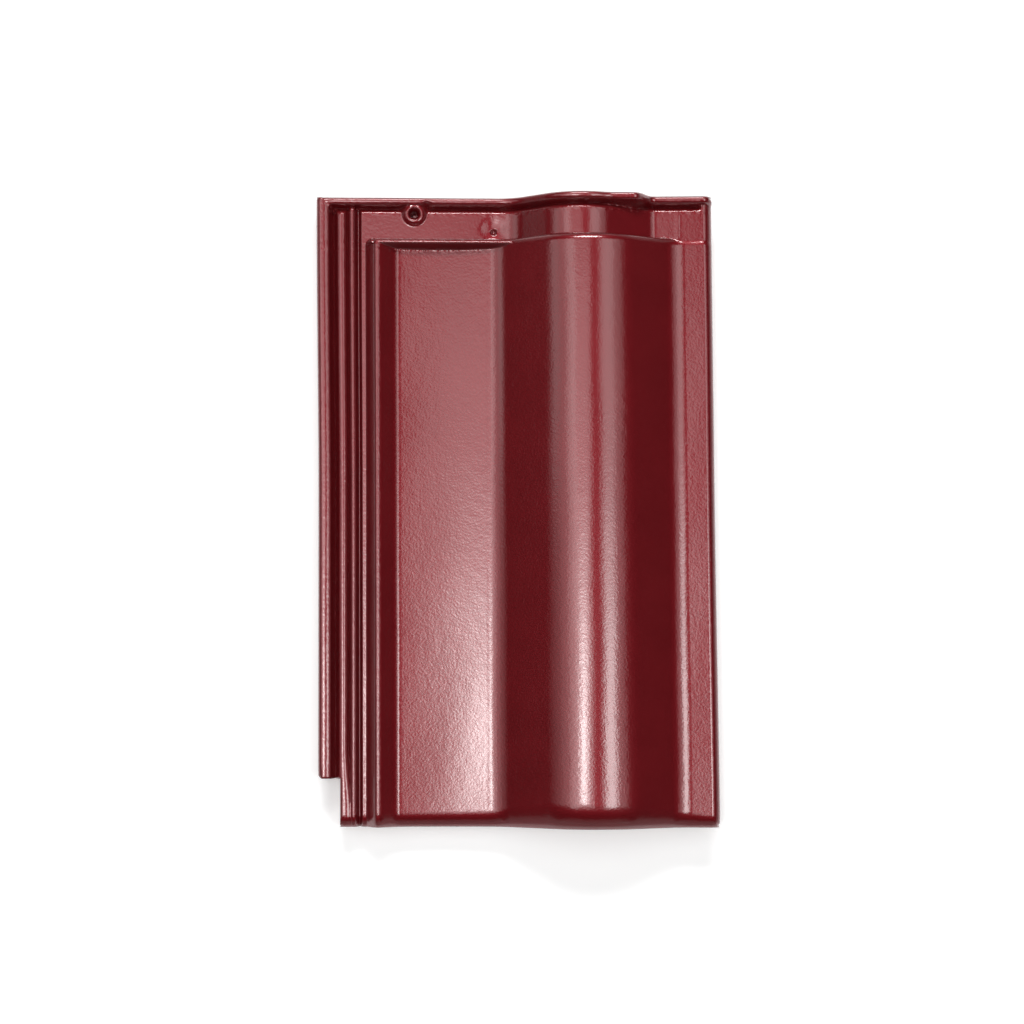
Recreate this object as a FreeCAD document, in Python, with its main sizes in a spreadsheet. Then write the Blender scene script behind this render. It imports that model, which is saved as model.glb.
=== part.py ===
import math
import os

import FreeCAD
import Part
import Sketcher

# Interlocking roof tile, pressed and fired as one piece. Millimetres.
# X runs from the water lock to the cover strip, Y from the nose to the head,
# Z up from the floor it lies on.

FULL_TURN = 360
LONG_EDGE_SHARE = 0.9
SAME_SPOT = 0.01
DOWN = 1.5 * math.pi
UP = 0.5 * math.pi

doc = FreeCAD.newDocument("roof_tile")
dims = doc.addObject("Spreadsheet::Sheet", "dims")

# Driving dimensions, then the positions worked out from them
ROWS = [
    ("tile_width", "284"),
    ("tile_length", "450"),
    ("stand_height", "10"),
    ("pan_thickness", "12"),
    ("rim_width", "8.7"),
    ("groove_width", "6"),
    ("rib_width", "5.5"),
    ("slit_width", "2.8"),
    ("inner_rib_width", "3.7"),
    ("inner_groove_width", "4.5"),
    ("floor_strip_width", "3"),
    ("bead_wall_run", "4.2"),
    ("bead_top_width", "5.4"),
    ("bead_slope_run", "13.4"),
    ("rim_rise", "3"),
    ("rib_rise", "1"),
    ("groove_drop", "5"),
    ("slit_drop", "2.5"),
    ("inner_groove_drop", "4"),
    ("floor_drop", "0.5"),
    ("bead_rise", "8.5"),
    ("groove_draft", "1.6"),
    ("slit_draft", "0.9"),
    ("strip_rise", "11"),
    ("strip_width", "20"),
    ("side_draft", "1.2"),
    ("roll_rise", "33"),
    ("roll_from_right", "91.3"),
    ("roll_run", "72.7"),
    ("toe_radius", "28"),
    ("roll_left_radius", "49"),
    ("roll_right_radius", "64"),
    ("foot_radius", "32"),
    ("head_roll_rise", "26"),
    ("head_roll_shift", "3.5"),
    ("head_roll_run", "60.2"),
    ("head_toe_radius", "30"),
    ("head_left_radius", "45"),
    ("head_right_radius", "50"),
    ("head_foot_radius", "12"),
    ("head_strip_width", "41.5"),
    ("head_strip_drop", "0.6"),
    ("head_lock_length", "30.4"),
    ("head_rim_width", "5.2"),
    ("head_groove_width", "6"),
    ("head_groove_drop", "5"),
    ("head_groove_gap", "8"),
    ("head_rim_rise", "3"),
    ("rim_hump_from_roll", "25.8"),
    ("rim_hump_width", "14.5"),
    ("rim_hump_run", "10.5"),
    ("rim_hump_drop", "2.6"),
    ("head_bead_width", "2.4"),
    ("head_slope_run", "4.6"),
    ("notch_width", "15.4"),
    ("notch_length", "34"),
    ("notch_corner", "2.5"),
    ("nose_radius", "8"),
    ("rim_edge_radius", "2.6"),
    ("rib_edge_radius", "0.8"),
    ("bead_edge_radius", "1.6"),
    ("pan_fillet_radius", "18"),
    ("strip_edge_radius", "6"),
    ("nose_corner_radius", "3.5"),
    ("head_corner_radius", "4.2"),
    ("lock_corner_radius", "2"),
    ("bead_nose_radius", "7"),
    ("lock_nose_radius", "5"),
    ("step_radius", "2.6"),
    ("boss_from_left", "68.7"),
    ("boss_from_head", "11.6"),
    ("boss_radius", "9.4"),
    ("boss_rise", "2.6"),
    ("nail_radius", "2.75"),
    ("nail_mouth_radius", "5"),
    ("nail_mouth_depth", "3.2"),
    ("dimple_from_left", "125.4"),
    ("dimple_from_head", "22"),
    ("dimple_radius", "5.6"),
    ("dimple_depth", "2.4"),
    ("dimple_pit_radius", "1.6"),
    ("dimple_lift", "0.5"),
    ("ridge_from_right", "27.3"),
    ("ridge_width", "3.5"),
    ("ridge_rise", "1"),
    ("ridge_start", "14"),
    ("ridge_end", "29"),
    ("hollow_rise", "10.5"),
    ("hollow_run", "54.2"),
    ("hollow_left_radius", "32"),
    ("hollow_right_radius", "40"),
    ("hollow_foot_radius", "10"),
    ("hollow_foot_run", "41.8"),
    ("main_hollow_rise", "20.5"),
    ("main_hollow_run", "63.4"),
    ("main_hollow_left_radius", "39"),
    ("main_hollow_right_radius", "54"),
    ("main_hollow_foot_run", "59.6"),
    ("main_hollow_foot_radius", "30"),
    ("main_hollow_gap", "14"),
    ("toe_radius_share", "0.92"),
    ("hollow_margin", "4"),
    ("hollow_rib_gap", "0.5"),
    ("cover_thickness", "9"),
    ("cover_rib_width", "4"),
    ("cover_rib_drop", "6"),
    ("cover_rib_from_right", "24.8"),
    ("lip_width", "7.6"),
    ("tongue_width", "2.6"),
    ("tongue_drop", "5"),
    ("lip_drop", "1.2"),
    ("foot_rib_from_nose", "18.5"),
    ("foot_rib_width", "4.4"),
    ("foot_rib_left", "30"),
    ("foot_rib_right", "124"),
    ("nib_width", "30"),
    ("nib_thickness", "13"),
    ("nib_from_head", "42"),
    ("nib_left", "45"),
    ("nib_right", "211"),
    ("nib_root", "6"),
    ("nib_high_drop", "7"),
    ("nib_low_rise", "3"),
    ("nose_start_gap", "12"),
    ("cut_margin", "5"),
    ("cut_overlap", "2"),
    ("half_length", "=tile_length / 2"),
    ("nose_y", "=-half_length"),
    ("left_x", "=-tile_width / 2"),
    ("right_x", "=tile_width / 2"),
    ("ground_z", "=0"),
    ("under_z", "=ground_z + stand_height"),
    ("pan_z", "=under_z + pan_thickness"),
    ("rim_z", "=pan_z + rim_rise"),
    ("rib_z", "=pan_z + rib_rise"),
    ("groove_z", "=pan_z - groove_drop"),
    ("slit_z", "=pan_z - slit_drop"),
    ("inner_groove_z", "=pan_z - inner_groove_drop"),
    ("floor_z", "=pan_z - floor_drop"),
    ("bead_z", "=pan_z + bead_rise"),
    ("strip_z", "=pan_z + strip_rise"),
    ("cover_z", "=strip_z - cover_thickness"),
    ("roll_z", "=pan_z + roll_rise"),
    ("top_z", "=roll_z + cut_margin"),
    ("groove_x", "=left_x + rim_width"),
    ("groove_bottom_left", "=groove_x + groove_draft"),
    ("rib_x", "=groove_x + groove_width"),
    ("groove_bottom_right", "=rib_x - groove_draft"),
    ("slit_x", "=rib_x + rib_width"),
    ("slit_bottom_left", "=slit_x + slit_draft"),
    ("inner_rib_x", "=slit_x + slit_width"),
    ("slit_bottom_right", "=inner_rib_x - slit_draft"),
    ("inner_groove_x", "=inner_rib_x + inner_rib_width"),
    ("inner_bottom_left", "=inner_groove_x + groove_draft"),
    ("floor_x", "=inner_groove_x + inner_groove_width"),
    ("inner_bottom_right", "=floor_x - groove_draft"),
    ("bead_foot_x", "=floor_x + floor_strip_width"),
    ("bead_x", "=bead_foot_x + bead_wall_run"),
    ("bead_end_x", "=bead_x + bead_top_width"),
    ("pan_x", "=bead_end_x + bead_slope_run"),
    ("roll_x", "=right_x - roll_from_right"),
    ("toe_x", "=roll_x - roll_run"),
    ("foot_x", "=right_x - strip_width"),
    ("strip_end_x", "=right_x - side_draft"),
    ("head_roll_x", "=roll_x - head_roll_shift"),
    ("head_toe_x", "=head_roll_x - head_roll_run"),
    ("head_foot_x", "=right_x - head_strip_width"),
    ("head_roll_z", "=pan_z + head_roll_rise"),
    ("head_strip_z", "=strip_z - head_strip_drop"),
    ("cut_right_x", "=right_x + cut_margin"),
    ("step_y", "=half_length - head_lock_length"),
    ("rim_y", "=half_length - head_rim_width"),
    ("rim_pan_z", "=floor_z + head_rim_rise"),
    ("rim_roll_z", "=head_roll_z + head_rim_rise"),
    ("rim_strip_z", "=head_strip_z + head_rim_rise"),
    ("hump_x", "=head_roll_x + rim_hump_from_roll"),
    ("hump_end_x", "=hump_x + rim_hump_width"),
    ("hump_foot_x", "=hump_end_x + rim_hump_run"),
    ("hump_z", "=rim_roll_z - rim_hump_drop"),
    ("groove_pan_z", "=floor_z - head_groove_drop"),
    ("groove_roll_z", "=head_roll_z - head_groove_drop"),
    ("groove_strip_z", "=head_strip_z - head_groove_drop"),
    ("groove_end_x", "=right_x - head_groove_gap"),
    ("bead_back_y", "=step_y - head_bead_width"),
    ("bead_pan_y", "=bead_back_y - head_slope_run"),
    ("notch_x", "=left_x + notch_width"),
    ("notch_y", "=nose_y + notch_length"),
    ("cut_left_x", "=left_x - cut_margin"),
    ("cut_nose_y", "=nose_y - cut_margin"),
    ("boss_x", "=left_x + boss_from_left"),
    ("boss_y", "=half_length - boss_from_head"),
    ("boss_z", "=floor_z + boss_rise"),
    ("dimple_x", "=left_x + dimple_from_left"),
    ("dimple_y", "=half_length - dimple_from_head"),
    ("dimple_z", "=floor_z + dimple_lift"),
    ("ridge_x", "=right_x - ridge_from_right"),
    ("hollow_z", "=cover_z + hollow_rise"),
    ("hollow_toe_x", "=head_roll_x - hollow_run"),
    ("hollow_height", "=hollow_z - under_z"),
    ("hollow_reach", "=(hollow_run ^ 2 + hollow_height ^ 2) / (2 * hollow_height)"),
    ("hollow_toe_radius", "=toe_radius_share * hollow_reach - hollow_left_radius"),
    ("hollow_foot_x", "=head_roll_x + hollow_foot_run"),
    ("cover_rib_x", "=right_x - cover_rib_from_right"),
    ("cover_rib_end", "=cover_rib_x + cover_rib_width"),
    ("cover_rib_z", "=cover_z - cover_rib_drop"),
    ("lip_x", "=right_x - lip_width"),
    ("tongue_end", "=lip_x + tongue_width"),
    ("tongue_z", "=cover_z - tongue_drop"),
    ("lip_z", "=cover_z - lip_drop"),
    ("main_hollow_z", "=cover_z + main_hollow_rise"),
    ("main_toe_x", "=roll_x - main_hollow_run"),
    ("main_height", "=main_hollow_z - under_z"),
    ("main_reach", "=(main_hollow_run ^ 2 + main_height ^ 2) / (2 * main_height)"),
    ("main_toe_radius", "=toe_radius_share * main_reach - main_hollow_left_radius"),
    ("main_foot_x", "=roll_x + main_hollow_foot_run"),
    ("main_start_x", "=main_toe_x - hollow_margin"),
    ("main_end_x", "=cover_rib_x - hollow_rib_gap"),
    ("main_hollow_y", "=step_y - main_hollow_gap"),
    ("foot_rib_x", "=left_x + foot_rib_left"),
    ("foot_rib_end", "=left_x + foot_rib_right"),
    ("foot_rib_y", "=nose_y + foot_rib_from_nose"),
    ("nib_y", "=half_length - nib_from_head"),
    ("nib_back_y", "=nib_y - nib_thickness"),
    ("nib_left_x", "=left_x + nib_left"),
    ("nib_right_x", "=left_x + nib_right"),
    ("nib_left_end", "=nib_left_x + nib_width"),
    ("nose_start_x", "=pan_x + nose_start_gap"),
    ("nose_back_y", "=nose_y + nose_radius"),
    ("nose_low_z", "=pan_z - nose_radius"),
    ("nose_out_y", "=nose_y - cut_overlap"),
    ("nose_out_z", "=pan_z + cut_overlap"),
    ("bead_nose_y", "=nose_y + bead_nose_radius"),
    ("bead_nose_z", "=bead_z - bead_nose_radius"),
    ("lock_nose_y", "=nose_y + lock_nose_radius"),
    ("lock_nose_z", "=rib_z - lock_nose_radius"),
    ("step_back_y", "=step_y - step_radius"),
    ("step_low_z", "=pan_z - step_radius"),
    ("cut_head_y", "=half_length + cut_margin"),
    ("head_corner_x", "=right_x - head_corner_radius"),
    ("head_corner_y", "=half_length - head_corner_radius"),
    ("nose_corner_x", "=right_x - nose_corner_radius"),
    ("nose_corner_y", "=nose_y + nose_corner_radius"),
    ("lock_corner_x", "=left_x + lock_corner_radius"),
    ("lock_corner_y", "=half_length - lock_corner_radius"),
    ("notch_corner_x", "=left_x + notch_corner"),
    ("notch_corner_y", "=notch_y + notch_corner"),
    ("notch_low_x", "=notch_x + notch_corner"),
    ("notch_low_y", "=nose_y + notch_corner"),
    ("notch_out_x", "=notch_x - cut_overlap"),
    ("notch_out_y", "=notch_y - cut_overlap"),
    ("nib_right_end", "=nib_right_x + nib_width"),
    ("nib_root_z", "=under_z + nib_root"),
    ("nib_high_root_z", "=roll_z - nib_high_drop"),
    ("nib_low_root_z", "=strip_z + nib_low_rise"),
    ("foot_rib_back", "=foot_rib_y + foot_rib_width"),
    ("mouth_x", "=boss_x + nail_mouth_radius"),
    ("nail_wall_x", "=boss_x + nail_radius"),
    ("mouth_z", "=boss_z - nail_mouth_depth"),
    ("dimple_edge_x", "=dimple_x + dimple_radius"),
    ("dimple_pit_x", "=dimple_x + dimple_pit_radius"),
    ("dimple_pit_z", "=dimple_z - dimple_depth"),
    ("ridge_end_x", "=ridge_x + ridge_width"),
    ("ridge_high_y", "=half_length - ridge_start"),
    ("ridge_low_y", "=half_length - ridge_end"),
]
for number, (alias, text) in enumerate(ROWS, start=1):
    dims.set("A%d" % number, alias)
    dims.set("B%d" % number, text)
    dims.setAlias("B%d" % number, alias)
doc.recompute()


def value(alias):
    return float(dims.get(alias))


body = doc.addObject("PartDesign::Body", "roof_tile_body")
PLANES = {feature.Role: feature for feature in body.Origin.OriginFeatures}


def new_sketch(name, plane, offset=None):
    # A sketch on one of the body's planes, moved along the plane's normal by a sheet expression
    sketch = body.newObject("Sketcher::SketchObject", name)
    sketch.AttachmentSupport = [(PLANES[plane], "")]
    sketch.MapMode = "FlatFace"
    if offset:
        sketch.setExpression("AttachmentOffset.Base.z", offset)
    return sketch


def bind(sketch, kind, refs, alias):
    index = sketch.addConstraint(Sketcher.Constraint(kind, *refs, value(alias)))
    sketch.setExpression("Constraints[%d]" % index, "dims." + alias)


def inner_tangent(low_center, low_radius, high_center, high_radius):
    # Tangent that passes from the upper side of the high circle to the lower side of the low circle.
    # Gives the flank's slope angle for a flank that rises to the right.
    dx = high_center[0] - low_center[0]
    dz = high_center[1] - low_center[1]
    return math.atan2(dz, dx) + math.asin((low_radius + high_radius) / math.hypot(dx, dz))


def arc(center, radius, start, end):
    circle = Part.Circle(FreeCAD.Vector(center[0], center[1], 0), FreeCAD.Vector(0, 0, 1), radius)
    return Part.ArcOfCircle(circle, start, end)


def line(start, end):
    return Part.LineSegment(FreeCAD.Vector(start[0], start[1], 0), FreeCAD.Vector(end[0], end[1], 0))


def add_wave(sketch, start, end, wave):
    # The roll: a toe arc, a flank, two crown arcs that meet at the apex, a flank and a foot arc
    toe_r, left_r, right_r, foot_r = (value(wave[key]) for key in ("toe", "left", "right", "foot"))
    apex = (value(wave["x"]), value(wave["z"]))
    toe_center = (start[0], start[1] + toe_r)
    left_center = (apex[0], apex[1] - left_r)
    right_center = (apex[0], apex[1] - right_r)
    foot_center = (end[0], end[1] + foot_r)
    rise = inner_tangent(toe_center, toe_r, left_center, left_r)
    foot_mirrored = (-foot_center[0], foot_center[1])
    right_mirrored = (-right_center[0], right_center[1])
    fall = inner_tangent(foot_mirrored, foot_r, right_mirrored, right_r)

    def at(center, radius, angle):
        return (center[0] + radius * math.cos(angle), center[1] + radius * math.sin(angle))

    toe = sketch.addGeometry(arc(toe_center, toe_r, DOWN, DOWN + rise))
    flank_start = at(toe_center, toe_r, DOWN + rise)
    flank_end = at(left_center, left_r, UP + rise)
    flank = sketch.addGeometry(line(flank_start, flank_end))
    crown_left = sketch.addGeometry(arc(left_center, left_r, UP, UP + rise))
    crown_right = sketch.addGeometry(arc(right_center, right_r, UP - fall, UP))
    slope_start = at(right_center, right_r, UP - fall)
    slope_end = at(foot_center, foot_r, DOWN - fall)
    slope = sketch.addGeometry(line(slope_start, slope_end))
    foot = sketch.addGeometry(arc(foot_center, foot_r, DOWN - fall, DOWN))
    joins = [
        (toe, 2, flank, 1),
        (flank, 2, crown_left, 2),
        (crown_left, 1, crown_right, 2),
        (crown_right, 1, slope, 1),
        (slope, 2, foot, 1),
    ]
    for join in joins:
        sketch.addConstraint(Sketcher.Constraint("Tangent", *join))
    sketch.addConstraint(Sketcher.Constraint("Vertical", crown_left, 1, crown_left, 3))
    for geometry, key in ((toe, "toe"), (crown_left, "left"), (crown_right, "right"), (foot, "foot")):
        bind(sketch, "Radius", (geometry,), wave[key])
    bind(sketch, "DistanceX", (-1, 1, crown_left, 1), wave["x"])
    bind(sketch, "DistanceY", (-1, 1, crown_left, 1), wave["z"])
    return (toe, 1), (foot, 2)


def add_chain(sketch, corners, pinned=True):
    # A run of straight sides and waves through corners given as pairs of sheet names.
    # A wave that stands between two corners takes the place of the straight side.
    points = []
    waves = {}
    for item in corners:
        if isinstance(item, dict):
            waves[len(points) - 1] = item
        else:
            points.append(item)
    ends = []
    for index in range(len(points) - 1):
        start = tuple(value(alias) for alias in points[index])
        end = tuple(value(alias) for alias in points[index + 1])
        if index in waves:
            ends.append(add_wave(sketch, start, end, waves[index]))
        else:
            geometry = sketch.addGeometry(line(start, end))
            ends.append(((geometry, 1), (geometry, 2)))
    for index in range(1, len(points) - 1):
        kind = "Tangent" if index in waves or index - 1 in waves else "Coincident"
        sketch.addConstraint(Sketcher.Constraint(kind, *ends[index - 1][1], *ends[index][0]))
    spots = [side[0] for side in ends] + [ends[-1][1]]
    for index, spot in enumerate(spots):
        if pinned or 0 < index < len(spots) - 1:
            bind(sketch, "DistanceX", (-1, 1, *spot), points[index][0])
            bind(sketch, "DistanceY", (-1, 1, *spot), points[index][1])
    return spots[0], spots[-1]


def close_loop(sketch, corners):
    # A closed outline through the corners
    first, last = add_chain(sketch, corners)
    start = sketch.Geometry[first[0]].StartPoint
    end = sketch.Geometry[last[0]].EndPoint
    side = sketch.addGeometry(line((end.x, end.y), (start.x, start.y)))
    sketch.addConstraint(Sketcher.Constraint("Coincident", *last, side, 1))
    sketch.addConstraint(Sketcher.Constraint("Coincident", side, 2, *first))


def add_circle(sketch, x_alias, y_alias, radius_alias):
    center = FreeCAD.Vector(value(x_alias), value(y_alias), 0)
    ring = sketch.addGeometry(Part.Circle(center, FreeCAD.Vector(0, 0, 1), value(radius_alias)))
    bind(sketch, "DistanceX", (-1, 1, ring, 3), x_alias)
    bind(sketch, "DistanceY", (-1, 1, ring, 3), y_alias)
    bind(sketch, "Radius", (ring,), radius_alias)


def feature(kind, name, sketch, length, into_part=None):
    # A pad or pocket of a given length. A pocket is turned round if it misses the part.
    before = body.Tip.Shape.Volume if body.Tip else 0
    made = body.newObject("PartDesign::" + kind, name)
    made.Profile = sketch
    made.setExpression("Length", length)
    if into_part is not None:
        made.Reversed = into_part
    doc.recompute()
    sketch.Visibility = False
    change = made.Shape.Volume - before
    if kind == "Pocket" and change >= 0:
        raise RuntimeError(name + " cuts nothing")
    if kind == "Pad" and change <= 0:
        raise RuntimeError(name + " adds nothing")
    return made


def turned_cut(name, sketch):
    # Turns an outline about its own first upright side and takes it away
    made = body.newObject("PartDesign::Groove", name)
    made.Profile = sketch
    made.ReferenceAxis = (sketch, ["Edge%d" % len(sketch.Geometry)])
    made.Angle = FULL_TURN
    doc.recompute()
    sketch.Visibility = False
    return made


def fillet(name, radius, picks):
    # Rounds the edges that the picks choose
    base = body.Tip
    names = []
    for number, edge in enumerate(base.Shape.Edges, start=1):
        if any(pick(edge) for pick in picks):
            names.append("Edge%d" % number)
    made = body.newObject("PartDesign::Fillet", name)
    made.Base = (base, names)
    made.setExpression("Radius", "dims." + radius)
    made.UseAllEdges = False
    doc.recompute()
    if made.Shape.isNull() or not made.Shape.isValid():
        raise RuntimeError(name + " failed")
    return made


def long_edge(x_alias, z_alias):
    # Picks the edge that runs the tile's length at a corner of the section
    def pick(edge):
        ends = [vertex.Point for vertex in edge.Vertexes]
        if len(ends) != 2 or abs(ends[0].y - ends[1].y) < LONG_EDGE_SHARE * value("tile_length"):
            return False
        near = abs(ends[0].x - value(x_alias)) + abs(ends[0].z - value(z_alias))
        return near < SAME_SPOT
    return pick


MAIN_WAVE = {
    "toe": "toe_radius", "left": "roll_left_radius", "right": "roll_right_radius",
    "foot": "foot_radius", "x": "roll_x", "z": "roll_z",
}
HEAD_WAVE = {
    "toe": "head_toe_radius", "left": "head_left_radius", "right": "head_right_radius",
    "foot": "head_foot_radius", "x": "head_roll_x", "z": "head_roll_z",
}
GROOVE_WAVE = dict(HEAD_WAVE, z="groove_roll_z")
HOLLOW_WAVE = {
    "toe": "hollow_toe_radius", "left": "hollow_left_radius", "right": "hollow_right_radius",
    "foot": "hollow_foot_radius", "x": "head_roll_x", "z": "hollow_z",
}
MAIN_HOLLOW_WAVE = {
    "toe": "main_toe_radius", "left": "main_hollow_left_radius", "right": "main_hollow_right_radius",
    "foot": "main_hollow_foot_radius", "x": "roll_x", "z": "main_hollow_z",
}

# Full section, drawn out over the tile's length
section = new_sketch("section", "XZ_Plane")
top_start, top_end = add_chain(section, [
    ("left_x", "under_z"),
    ("left_x", "rim_z"),
    ("groove_x", "rim_z"),
    ("groove_bottom_left", "groove_z"),
    ("groove_bottom_right", "groove_z"),
    ("rib_x", "rib_z"),
    ("slit_x", "rib_z"),
    ("slit_bottom_left", "slit_z"),
    ("slit_bottom_right", "slit_z"),
    ("inner_rib_x", "rib_z"),
    ("inner_groove_x", "rib_z"),
    ("inner_bottom_left", "inner_groove_z"),
    ("inner_bottom_right", "inner_groove_z"),
    ("floor_x", "floor_z"),
    ("bead_foot_x", "floor_z"),
    ("bead_x", "bead_z"),
    ("bead_end_x", "bead_z"),
    ("pan_x", "pan_z"),
    ("toe_x", "pan_z"),
    MAIN_WAVE,
    ("foot_x", "strip_z"),
    ("strip_end_x", "strip_z"),
    ("right_x", "lip_z"),
])
under_start, under_end = add_chain(section, [
    ("left_x", "under_z"),
    ("hollow_toe_x", "under_z"),
    HOLLOW_WAVE,
    ("hollow_foot_x", "cover_z"),
    ("cover_rib_x", "cover_z"),
    ("cover_rib_x", "cover_rib_z"),
    ("cover_rib_end", "cover_rib_z"),
    ("cover_rib_end", "cover_z"),
    ("lip_x", "cover_z"),
    ("lip_x", "tongue_z"),
    ("tongue_end", "tongue_z"),
    ("tongue_end", "lip_z"),
    ("right_x", "lip_z"),
], pinned=False)
section.addConstraint(Sketcher.Constraint("Coincident", *top_start, *under_start))
section.addConstraint(Sketcher.Constraint("Coincident", *top_end, *under_end))
doc.recompute()
blank = body.newObject("PartDesign::Pad", "blank")
blank.Profile = section
blank.setExpression("Length", "dims.tile_length")
blank.SideType = "Symmetric"
doc.recompute()
section.Visibility = False

# Rounded long edges
fillet("rim_edge", "rim_edge_radius", [long_edge("left_x", "rim_z")])
fillet("pan_fillet", "pan_fillet_radius", [long_edge("pan_x", "pan_z")])
fillet("strip_edge", "strip_edge_radius", [long_edge("strip_end_x", "strip_z")])
fillet("bead_edges", "bead_edge_radius", [
    long_edge("bead_foot_x", "floor_z"),
    long_edge("bead_x", "bead_z"),
    long_edge("bead_end_x", "bead_z"),
])
fillet("rib_edges", "rib_edge_radius", [
    long_edge("groove_x", "rim_z"),
    long_edge("rib_x", "rib_z"),
    long_edge("slit_x", "rib_z"),
    long_edge("inner_rib_x", "rib_z"),
    long_edge("inner_groove_x", "rib_z"),
    long_edge("floor_x", "floor_z"),
])


def add_corner(sketch, inner_x, inner_y, edge_x, edge_y, out_x, out_y, radius):
    # Square corner less a quarter round, which is what rounding takes off an edge.
    # The round runs from (inner_x, edge_y) to (edge_x, inner_y) about the inner point.
    toward_x = 1 if value(edge_x) > value(inner_x) else -1
    toward_y = 1 if value(edge_y) > value(inner_y) else -1
    quarter = {(1, 1): 0, (-1, 1): 1, (-1, -1): 2, (1, -1): 3}[(toward_x, toward_y)]
    start = UP * quarter
    center = (value(inner_x), value(inner_y))
    round_edge = sketch.addGeometry(arc(center, value(radius), start, start + UP))
    x_side, y_side = (1, 2) if quarter in (0, 2) else (2, 1)
    corners = [(inner_x, edge_y), (inner_x, out_y), (out_x, out_y), (out_x, inner_y)]
    if out_x != edge_x:
        corners.append((edge_x, inner_y))
    first, last = add_chain(sketch, corners)
    sketch.addConstraint(Sketcher.Constraint("Coincident", *first, round_edge, y_side))
    sketch.addConstraint(Sketcher.Constraint("Coincident", *last, round_edge, x_side))
    bind(sketch, "Radius", (round_edge,), radius)


def swept_cut(name, outline, path):
    made = body.newObject("PartDesign::SubtractivePipe", name)
    made.Profile = outline
    made.Spine = path
    doc.recompute()
    outline.Visibility = False
    path.Visibility = False
    return made


# Rounded nose
nose_path = new_sketch("nose_path", "XZ_Plane", "-dims.nose_y")
add_chain(nose_path, [
    ("nose_start_x", "pan_z"),
    ("toe_x", "pan_z"),
    MAIN_WAVE,
    ("foot_x", "strip_z"),
    ("cut_right_x", "strip_z"),
])
nose_corner = new_sketch("nose_corner", "YZ_Plane", "dims.nose_start_x")
add_corner(nose_corner, "nose_back_y", "nose_low_z", "nose_y", "pan_z", "nose_out_y", "nose_out_z",
           "nose_radius")
doc.recompute()
swept_cut("nose_round", nose_corner, nose_path)

slope_path = new_sketch("slope_path", "XZ_Plane", "-dims.nose_y")
add_chain(slope_path, [
    ("nose_start_x", "pan_z"),
    ("pan_x", "pan_z"),
    ("bead_end_x", "bead_z"),
])
slope_corner = new_sketch("slope_corner", "YZ_Plane", "dims.nose_start_x")
add_corner(slope_corner, "nose_back_y", "nose_low_z", "nose_y", "pan_z", "nose_out_y", "nose_out_z",
           "nose_radius")
doc.recompute()
swept_cut("slope_round", slope_corner, slope_path)

bead_nose = new_sketch("bead_nose", "YZ_Plane", "dims.bead_foot_x")
add_corner(bead_nose, "bead_nose_y", "bead_nose_z", "nose_y", "bead_z", "nose_out_y", "strip_z",
           "bead_nose_radius")
feature("Pocket", "bead_nose_round", bead_nose, "dims.bead_end_x - dims.bead_foot_x", True)

lock_nose = new_sketch("lock_nose", "YZ_Plane", "dims.left_x")
add_corner(lock_nose, "lock_nose_y", "lock_nose_z", "nose_y", "rib_z", "nose_out_y", "bead_z",
           "lock_nose_radius")
feature("Pocket", "lock_nose_round", lock_nose, "dims.bead_foot_x - dims.left_x", True)

# Deeper hollow under the roll, from the nose to short of the head lock
hollow = new_sketch("main_hollow", "XZ_Plane", "-dims.nose_y")
close_loop(hollow, [
    ("main_start_x", "under_z"),
    ("main_toe_x", "under_z"),
    MAIN_HOLLOW_WAVE,
    ("main_foot_x", "cover_z"),
    ("main_end_x", "cover_z"),
    ("main_end_x", "ground_z"),
    ("main_start_x", "ground_z"),
])
feature("Pocket", "roll_hollow", hollow, "dims.main_hollow_y - dims.nose_y", False)

# Head lock: the body is cut down to the rim, then to the floor, then into the groove
rim_cut = new_sketch("head_rim", "XZ_Plane", "-dims.half_length")
close_loop(rim_cut, [
    ("bead_foot_x", "rim_pan_z"),
    ("head_toe_x", "rim_pan_z"),
    dict(HEAD_WAVE, z="rim_roll_z"),
    ("head_foot_x", "rim_strip_z"),
    ("cut_right_x", "rim_strip_z"),
    ("cut_right_x", "top_z"),
    ("bead_foot_x", "top_z"),
])
feature("Pocket", "head_rim_cut", rim_cut, "dims.head_lock_length", True)

floor_cut = new_sketch("head_floor", "XZ_Plane", "-dims.rim_y")
close_loop(floor_cut, [
    ("bead_foot_x", "floor_z"),
    ("head_toe_x", "floor_z"),
    HEAD_WAVE,
    ("head_foot_x", "head_strip_z"),
    ("cut_right_x", "head_strip_z"),
    ("cut_right_x", "top_z"),
    ("bead_foot_x", "top_z"),
])
feature("Pocket", "head_floor_cut", floor_cut, "dims.rim_y - dims.step_y", True)

step_path = new_sketch("step_path", "XZ_Plane", "-dims.step_y")
add_chain(step_path, [
    ("nose_start_x", "pan_z"),
    ("toe_x", "pan_z"),
    MAIN_WAVE,
    ("foot_x", "strip_z"),
    ("strip_end_x", "strip_z"),
])
step_corner = new_sketch("step_corner", "YZ_Plane", "dims.nose_start_x")
add_corner(step_corner, "step_back_y", "step_low_z", "step_y", "pan_z", "step_y", "nose_out_z",
           "step_radius")
doc.recompute()
swept_cut("step_round", step_corner, step_path)

groove_cut = new_sketch("head_groove", "XZ_Plane", "-dims.rim_y")
close_loop(groove_cut, [
    ("groove_bottom_left", "groove_pan_z"),
    ("head_toe_x", "groove_pan_z"),
    GROOVE_WAVE,
    ("head_foot_x", "groove_strip_z"),
    ("groove_end_x", "groove_strip_z"),
    ("groove_end_x", "top_z"),
    ("groove_bottom_left", "top_z"),
])
feature("Pocket", "head_groove_cut", groove_cut, "dims.head_groove_width", True)

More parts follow.
